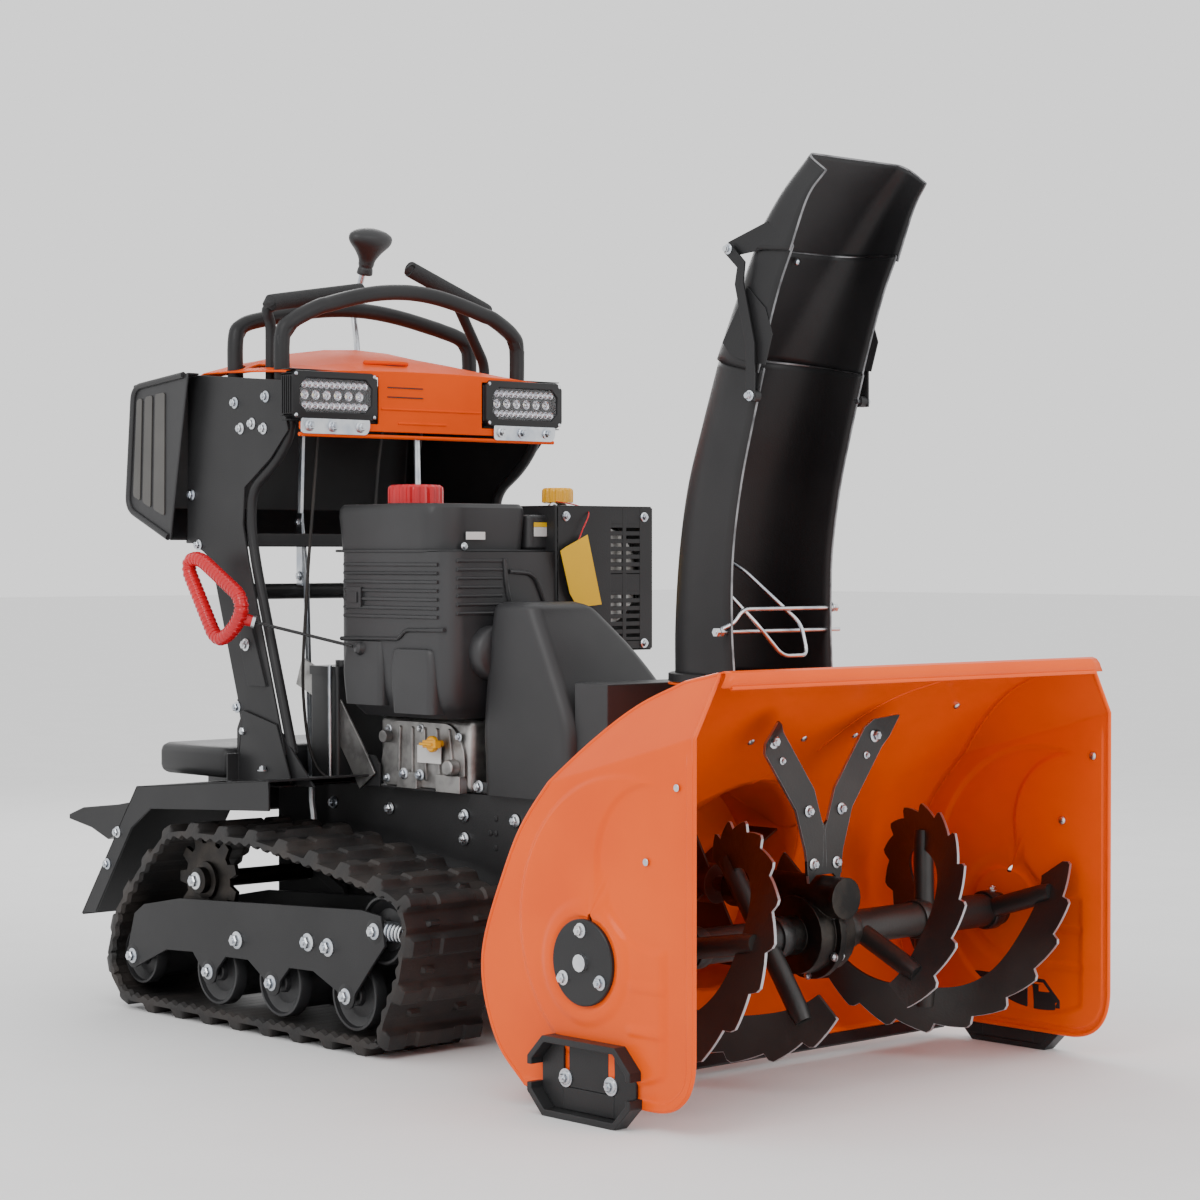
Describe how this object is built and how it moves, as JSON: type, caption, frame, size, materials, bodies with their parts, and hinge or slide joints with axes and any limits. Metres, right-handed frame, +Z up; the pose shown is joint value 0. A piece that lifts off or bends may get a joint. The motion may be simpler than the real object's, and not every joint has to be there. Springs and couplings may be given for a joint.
{
  "type": "two stage snowblower",
  "caption": "Tracked walk-behind two stage snowblower with auger housing, tall tilting chute, engine, rubber tracks, dash with levers and twin lamps.",
  "frame": {"origin": "centre of the footprint of the whole machine, on the ground", "axes": "+Z up, auger housing towards -Y, operator behind at +Y, operator's right side at -X"},
  "size_m": [0.944, 1.784, 1.3141],
  "materials": {
    "orange_paint": "gloss",
    "black_paint": "satin",
    "black_plastic": "matt",
    "zinc_steel": "bright",
    "cast_aluminium": "as cast",
    "cast_iron": "dark",
    "rubber": "matt",
    "foam_grip": "matt",
    "red_plastic": "gloss",
    "yellow_plastic": "gloss",
    "lamp_lens": "clear"
  },
  "bodies": {
    "chassis": {"auger_housing": "orange_paint", "dash_cover": "orange_paint", "skid_shoe_r": "black_paint", "skid_shoe_l": "black_paint", "scraper_bar": "black_paint", "cutter_arms": "black_paint", "chassis_frame": "black_paint", "muffler_guard": "black_paint", "track_beam_r": "black_paint", "track_beam_l": "black_paint", "rear_frame": "black_paint", "rear_box": "black_paint", "handle_frame": "black_paint", "belt_cover": "black_plastic", "engine_shroud": "black_plastic", "fuel_tank": "black_plastic", "rear_console": "black_plastic", "engine_block": "cast_aluminium", "transaxle": "cast_aluminium", "gearbox_case": "cast_iron", "track_r": "rubber", "track_l": "rubber", "auger_belt": "rubber", "traction_belt": "rubber", "starter_rope": "rubber", "lamp_r": "lamp_lens", "lamp_l": "lamp_lens"},
    "auger": {"auger_r": "black_paint", "auger_l": "black_paint", "auger_shaft": "zinc_steel"},
    "impeller": {"impeller": "black_paint"},
    "crankshaft": {"crankshaft": "zinc_steel"},
    "drive_shaft": {"drive_shaft": "zinc_steel"},
    "chute": {"chute_body": "black_paint"},
    "flap": {"chute_flap": "black_paint"},
    "deflector": {"chute_deflector": "black_paint"},
    "links": {"deflector_link_r": "black_paint", "deflector_link_l": "black_paint"},
    "fuel_cap": {"fuel_cap": "red_plastic"},
    "oil_cap": {"oil_cap": "yellow_plastic"},
    "dipstick": {"dipstick": "yellow_plastic"},
    "lever_r": {"clutch_lever_r": "foam_grip"},
    "lever_l": {"clutch_lever_l": "foam_grip"},
    "shift_lever": {"shift_lever": "zinc_steel"},
    "control_rod": {"control_rod": "zinc_steel"},
    "drive_arm": {"drive_arm": "black_paint"},
    "pedal": {"foot_pedal": "black_paint"},
    "pull_handle": {"pull_handle": "red_plastic"},
    "sprocket_r": {"sprocket_r": "cast_iron"},
    "sprocket_l": {"sprocket_l": "cast_iron"},
    "rear_idler_r": {"rear_idler_r": "black_plastic"},
    "roller_rear_r": {"roller_rear_r": "black_plastic"},
    "roller_middle_r": {"roller_middle_r": "black_plastic"},
    "roller_front_r": {"roller_front_r": "black_plastic"},
    "front_idler_r": {"front_idler_r": "black_plastic"},
    "rear_idler_l": {"rear_idler_l": "black_plastic"},
    "roller_rear_l": {"roller_rear_l": "black_plastic"},
    "roller_middle_l": {"roller_middle_l": "black_plastic"},
    "roller_front_l": {"roller_front_l": "black_plastic"},
    "front_idler_l": {"front_idler_l": "black_plastic"}
  },
  "joints": [
    {"name": "auger_spin", "type": "hinge", "parent": "chassis", "child": "auger", "pos_m": [0, -0.679, 0.21], "axis": [1, 0, 0], "continuous": true},
    {"name": "impeller_spin", "type": "hinge", "parent": "chassis", "child": "impeller", "pos_m": [0, -0.449, 0.265], "axis": [0, 1, 0], "continuous": true},
    {"name": "crank_spin", "type": "hinge", "parent": "chassis", "child": "crankshaft", "pos_m": [0, -0.279, 0.47], "axis": [0, 1, 0], "continuous": true},
    {"name": "drive_spin", "type": "hinge", "parent": "chassis", "child": "drive_shaft", "pos_m": [0, -0.079, 0.195], "axis": [0, 1, 0], "continuous": true},
    {"name": "chute_turn", "type": "hinge", "parent": "chassis", "child": "chute", "pos_m": [0.04, -0.504, 0.57], "axis": [0, 0, 1], "range_deg": [-85, 85]},
    {"name": "flap_tilt", "type": "hinge", "parent": "chute", "child": "flap", "pos_m": [0.04, -0.521, 1.045], "axis": [1, 0, 0], "range_deg": [0, 12]},
    {"name": "deflector_tilt", "type": "hinge", "parent": "flap", "child": "deflector", "pos_m": [0.04, -0.617, 1.192], "axis": [1, 0, 0], "range_deg": [0, 20]},
    {"name": "link_tilt", "type": "hinge", "parent": "chute", "child": "links", "pos_m": [0.04, -0.637, 0.977], "axis": [1, 0, 0], "range_deg": [0, 9]},
    {"name": "fuel_cap_turn", "type": "hinge", "parent": "chassis", "child": "fuel_cap", "pos_m": [-0.13, 0.051, 0.8303], "axis": [0, 0, 1], "range_deg": [0, 90]},
    {"name": "oil_cap_turn", "type": "hinge", "parent": "chassis", "child": "oil_cap", "pos_m": [0.15, 0.026, 0.8353], "axis": [0, 0, 1], "range_deg": [0, 120]},
    {"name": "dipstick_turn", "type": "hinge", "parent": "chassis", "child": "dipstick", "pos_m": [-0.1343, -0.024, 0.456], "axis": [-1, 0, 0], "range_deg": [0, 360]},
    {"name": "clutch_lever_r_squeeze", "type": "hinge", "parent": "chassis", "child": "lever_r", "pos_m": [-0.228, 0.301, 1], "axis": [-1, 0, 0], "range_deg": [0, 16], "stiffness_Nm_per_rad": 3, "springref_deg": -11.46},
    {"name": "clutch_lever_l_squeeze", "type": "hinge", "parent": "chassis", "child": "lever_l", "pos_m": [0.228, 0.301, 1], "axis": [-1, 0, 0], "range_deg": [0, 16], "stiffness_Nm_per_rad": 3, "springref_deg": -11.46},
    {"name": "shift_lever_tilt", "type": "hinge", "parent": "chassis", "child": "shift_lever", "pos_m": [0.036, 0.411, 0.985], "axis": [-1, 0, 0], "range_deg": [-8, 18]},
    {"name": "control_rod_lift", "type": "slide", "parent": "chassis", "child": "control_rod", "axis": [0, 0, 1], "range_m": [0, 0.0102]},
    {"name": "drive_arm_tilt", "type": "hinge", "parent": "chassis", "child": "drive_arm", "pos_m": [-0.143, 0.222, 0.202], "axis": [1, 0, 0], "range_deg": [0, 9.2]},
    {"name": "pedal_press", "type": "hinge", "parent": "chassis", "child": "pedal", "pos_m": [-0.2, 0.631, 0.327], "axis": [-1, 0, 0], "range_deg": [0, 12], "stiffness_Nm_per_rad": 40, "springref_deg": -8.59},
    {"name": "starter_pull", "type": "slide", "parent": "chassis", "child": "pull_handle", "axis": [-0.5242, 0.8226, 0.2204], "range_m": [0, 0.6], "stiffness_N_per_m": 25, "springref_m": -0.3, "deforming": ["starter_rope"]},
    {"name": "sprocket_r_spin", "type": "hinge", "parent": "chassis", "child": "sprocket_r", "pos_m": [-0.2, 0.341, 0.227], "axis": [1, 0, 0], "continuous": true},
    {"name": "rear_idler_r_spin", "type": "hinge", "parent": "chassis", "child": "rear_idler_r", "pos_m": [-0.2385, 0.517, 0.089], "axis": [1, 0, 0], "continuous": true},
    {"name": "roller_rear_r_spin", "type": "hinge", "parent": "chassis", "child": "roller_rear_r", "pos_m": [-0.2385, 0.302, 0.085], "axis": [1, 0, 0], "continuous": true},
    {"name": "roller_middle_r_spin", "type": "hinge", "parent": "chassis", "child": "roller_middle_r", "pos_m": [-0.2385, 0.134, 0.085], "axis": [1, 0, 0], "continuous": true},
    {"name": "roller_front_r_spin", "type": "hinge", "parent": "chassis", "child": "roller_front_r", "pos_m": [-0.2385, -0.053, 0.085], "axis": [1, 0, 0], "continuous": true},
    {"name": "front_idler_r_spin", "type": "hinge", "parent": "chassis", "child": "front_idler_r", "pos_m": [-0.2385, -0.122, 0.19], "axis": [1, 0, 0], "continuous": true},
    {"name": "sprocket_l_spin", "type": "hinge", "parent": "chassis", "child": "sprocket_l", "pos_m": [0.2, 0.341, 0.227], "axis": [1, 0, 0], "continuous": true},
    {"name": "rear_idler_l_spin", "type": "hinge", "parent": "chassis", "child": "rear_idler_l", "pos_m": [0.2385, 0.517, 0.089], "axis": [1, 0, 0], "continuous": true},
    {"name": "roller_rear_l_spin", "type": "hinge", "parent": "chassis", "child": "roller_rear_l", "pos_m": [0.2385, 0.302, 0.085], "axis": [1, 0, 0], "continuous": true},
    {"name": "roller_middle_l_spin", "type": "hinge", "parent": "chassis", "child": "roller_middle_l", "pos_m": [0.2385, 0.134, 0.085], "axis": [1, 0, 0], "continuous": true},
    {"name": "roller_front_l_spin", "type": "hinge", "parent": "chassis", "child": "roller_front_l", "pos_m": [0.2385, -0.053, 0.085], "axis": [1, 0, 0], "continuous": true},
    {"name": "front_idler_l_spin", "type": "hinge", "parent": "chassis", "child": "front_idler_l", "pos_m": [0.2385, -0.122, 0.19], "axis": [1, 0, 0], "continuous": true}
  ],
  "couplings": [
    {"joint": "impeller_spin", "follows": "auger_spin", "ratio": 10},
    {"joint": "deflector_tilt", "follows": "flap_tilt", "ratio": 1.6},
    {"joint": "link_tilt", "follows": "flap_tilt", "ratio": 0.73},
    {"joint": "control_rod_lift", "follows": "clutch_lever_r_squeeze", "m_per_rad": 0.036},
    {"joint": "drive_arm_tilt", "follows": "clutch_lever_r_squeeze", "ratio": 0.56},
    {"joint": "rear_idler_r_spin", "follows": "sprocket_r_spin", "ratio": 1.458},
    {"joint": "roller_rear_r_spin", "follows": "sprocket_r_spin", "ratio": 1.273},
    {"joint": "roller_middle_r_spin", "follows": "sprocket_r_spin", "ratio": 1.273},
    {"joint": "roller_front_r_spin", "follows": "sprocket_r_spin", "ratio": 1.273},
    {"joint": "front_idler_r_spin", "follows": "sprocket_r_spin", "ratio": 1.346},
    {"joint": "rear_idler_l_spin", "follows": "sprocket_l_spin", "ratio": 1.458},
    {"joint": "roller_rear_l_spin", "follows": "sprocket_l_spin", "ratio": 1.273},
    {"joint": "roller_middle_l_spin", "follows": "sprocket_l_spin", "ratio": 1.273},
    {"joint": "roller_front_l_spin", "follows": "sprocket_l_spin", "ratio": 1.273},
    {"joint": "front_idler_l_spin", "follows": "sprocket_l_spin", "ratio": 1.346}
  ]
}
